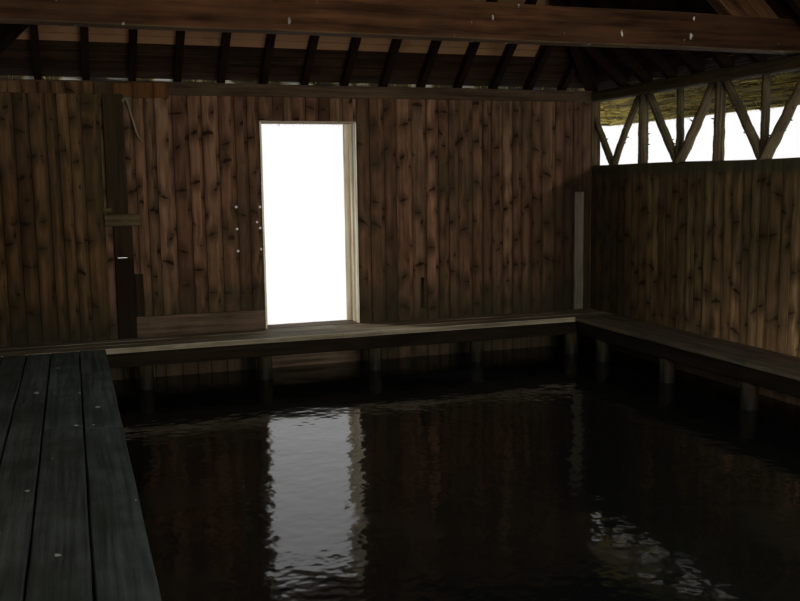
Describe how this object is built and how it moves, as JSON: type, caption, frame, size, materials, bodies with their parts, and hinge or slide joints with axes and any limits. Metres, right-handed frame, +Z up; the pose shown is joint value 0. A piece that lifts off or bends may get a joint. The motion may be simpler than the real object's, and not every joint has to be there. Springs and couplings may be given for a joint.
{
  "type": "thatched timber boathouse",
  "caption": "Hipped thatched timber boathouse over a dock: plank walkways on three sides, boarded walls with a rustic pole lattice under the eaves, a doorway behind and an open boat entrance.",
  "frame": {"origin": "centre of the plan at the level where walls, posts and piles meet ground or water", "axes": "+X to the right seen from the open water side, +Y from the open water side to the wall with the doorway and along the ridge, +Z up"},
  "size_m": [7.8256, 11.5256, 6.0651],
  "materials": {
    "wall_boards": "knotty softwood boards, brown, weathered",
    "sill_timber": "squared timber, brown, worn edges",
    "door_lining": "pale planed wood with worn paint",
    "dark_timber": "old dark timber",
    "pale_wood": "newer pale wood",
    "rustic_poles": "barked round poles, grey brown, weathered",
    "walkway_planks": "worn planks, grey green, with bird droppings",
    "pile_timber": "wet dark round timber",
    "roof_timber": "dark brown sawn timber",
    "roof_boarding": "old dark roof boards with newer pale ones",
    "straw_thatch": "combed straw, grey brown outside and golden at the eaves",
    "ridge_straw": "dense straw ridge"
  },
  "bodies": {
    "root": {"back_wall_left": "wall_boards", "back_wall_right": "wall_boards", "back_wall_over_door": "wall_boards", "back_wall_under_door": "sill_timber", "back_sill": "sill_timber", "door_frame": "door_lining", "wall_post": "dark_timber", "cross_block": "sill_timber", "pale_batten": "pale_wood", "right_wall_boards": "wall_boards", "right_sill_rail": "sill_timber", "right_lattice": "rustic_poles", "left_wall_boards": "wall_boards", "left_sill_rail": "sill_timber", "left_lattice": "rustic_poles", "back_plate": "sill_timber", "front_plate": "sill_timber", "right_plate": "sill_timber", "left_plate": "sill_timber", "corner_posts": "dark_timber", "front_posts": "rustic_poles", "front_braces": "rustic_poles", "walkway_left": "walkway_planks", "walkway_right": "walkway_planks", "walkway_back": "walkway_planks", "walkway_bearers": "dark_timber", "piles_left": "pile_timber", "piles_right": "pile_timber", "piles_back": "pile_timber", "tie_beams": "roof_timber", "principal_rafters": "roof_timber", "ridge_beam": "roof_timber", "hip_rafters": "roof_timber", "rafters_back": "roof_timber", "rafters_front": "roof_timber", "rafters_right": "roof_timber", "rafters_left": "roof_timber", "roof_boards_back": "roof_boarding", "roof_boards_front": "roof_boarding", "roof_boards_right": "roof_boarding", "roof_boards_left": "roof_boarding", "thatch_back": "straw_thatch", "thatch_front": "straw_thatch", "thatch_right": "straw_thatch", "thatch_left": "straw_thatch", "ridge_cap": "ridge_straw"}
  },
  "joints": []
}
